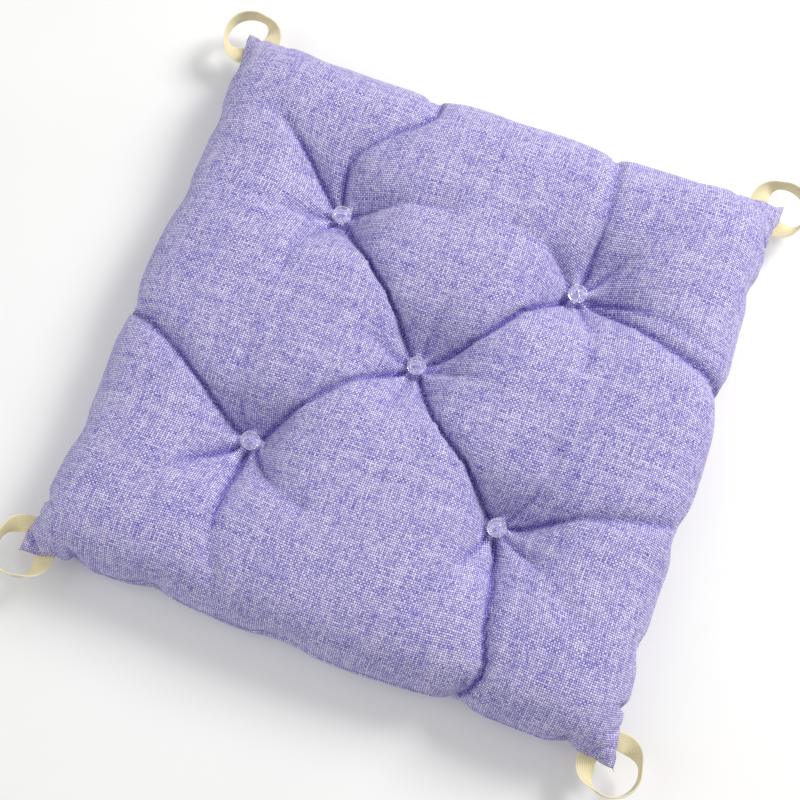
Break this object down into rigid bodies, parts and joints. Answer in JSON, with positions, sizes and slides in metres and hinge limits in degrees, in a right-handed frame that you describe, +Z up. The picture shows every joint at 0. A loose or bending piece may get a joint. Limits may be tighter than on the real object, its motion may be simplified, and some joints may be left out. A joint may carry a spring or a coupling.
{
  "type": "seat cushion",
  "caption": "Square knife-edge chair pad in two-tone woven cloth, tufted with clear buttons, with a cream elastic band round each corner.",
  "frame": {"origin": "under the middle of the pad, on the surface that it lies on", "axes": "+Z up out of the seat, +Y towards the chair's back, +X to the sitter's left as seen from the front"},
  "size_m": [0.432, 0.432, 0.054],
  "materials": {
    "cloth": "matte two-tone plain weave with slubs",
    "filling": "matte white polyester fibre",
    "thread": "satin polyester sewing thread",
    "button": "clear moulded plastic, polished",
    "band": "cream woven elastic"
  },
  "bodies": {
    "pad": {"top_panel": "cloth", "bottom_panel": "cloth", "filling": "filling", "seam_allowance": "cloth", "seam_thread": "thread", "closing_stitches": "thread", "band_ends_back_left": "band", "band_ends_back_right": "band", "band_ends_front_left": "band", "band_ends_front_right": "band"},
    "band_back_left": {"band_back_left": "band"},
    "band_back_right": {"band_back_right": "band"},
    "band_front_left": {"band_front_left": "band"},
    "band_front_right": {"band_front_right": "band"},
    "tuft_centre": {"button_top_centre": "button", "tuft_thread_centre": "thread", "button_bottom_centre": "button"},
    "tuft_front_left": {"button_top_front_left": "button", "tuft_thread_front_left": "thread", "button_bottom_front_left": "button"},
    "tuft_front_right": {"button_top_front_right": "button", "tuft_thread_front_right": "thread", "button_bottom_front_right": "button"},
    "tuft_back_left": {"button_top_back_left": "button", "tuft_thread_back_left": "thread", "button_bottom_back_left": "button"},
    "tuft_back_right": {"button_top_back_right": "button", "tuft_thread_back_right": "thread", "button_bottom_back_right": "button"}
  },
  "joints": [
    {"name": "band_back_left_swing", "type": "hinge", "parent": "pad", "child": "band_back_left", "pos_m": [-0.18988, 0.18988, 0.021], "axis": [0.7071, 0.7071, 0], "range_deg": [-70, 65], "stiffness_Nm_per_rad": 0.002},
    {"name": "band_back_right_swing", "type": "hinge", "parent": "pad", "child": "band_back_right", "pos_m": [0.18988, 0.18988, 0.021], "axis": [0.7071, -0.7071, 0], "range_deg": [-70, 65], "stiffness_Nm_per_rad": 0.002},
    {"name": "band_front_left_swing", "type": "hinge", "parent": "pad", "child": "band_front_left", "pos_m": [-0.18988, -0.18988, 0.021], "axis": [-0.7071, 0.7071, 0], "range_deg": [-70, 65], "stiffness_Nm_per_rad": 0.002},
    {"name": "band_front_right_swing", "type": "hinge", "parent": "pad", "child": "band_front_right", "pos_m": [0.18988, -0.18988, 0.021], "axis": [-0.7071, -0.7071, 0], "range_deg": [-70, 65], "stiffness_Nm_per_rad": 0.002},
    {"name": "tuft_centre_turn", "type": "hinge", "parent": "pad", "child": "tuft_centre", "pos_m": [0, 0, 0.021], "axis": [0, 0, 1], "range_deg": [-45, 45], "stiffness_Nm_per_rad": 0.0005},
    {"name": "tuft_front_left_turn", "type": "hinge", "parent": "pad", "child": "tuft_front_left", "pos_m": [-0.084, -0.084, 0.021], "axis": [0, 0, 1], "range_deg": [-45, 45], "stiffness_Nm_per_rad": 0.0005},
    {"name": "tuft_front_right_turn", "type": "hinge", "parent": "pad", "child": "tuft_front_right", "pos_m": [0.084, -0.084, 0.021], "axis": [0, 0, 1], "range_deg": [-45, 45], "stiffness_Nm_per_rad": 0.0005},
    {"name": "tuft_back_left_turn", "type": "hinge", "parent": "pad", "child": "tuft_back_left", "pos_m": [-0.084, 0.084, 0.021], "axis": [0, 0, 1], "range_deg": [-45, 45], "stiffness_Nm_per_rad": 0.0005},
    {"name": "tuft_back_right_turn", "type": "hinge", "parent": "pad", "child": "tuft_back_right", "pos_m": [0.084, 0.084, 0.021], "axis": [0, 0, 1], "range_deg": [-45, 45], "stiffness_Nm_per_rad": 0.0005}
  ]
}
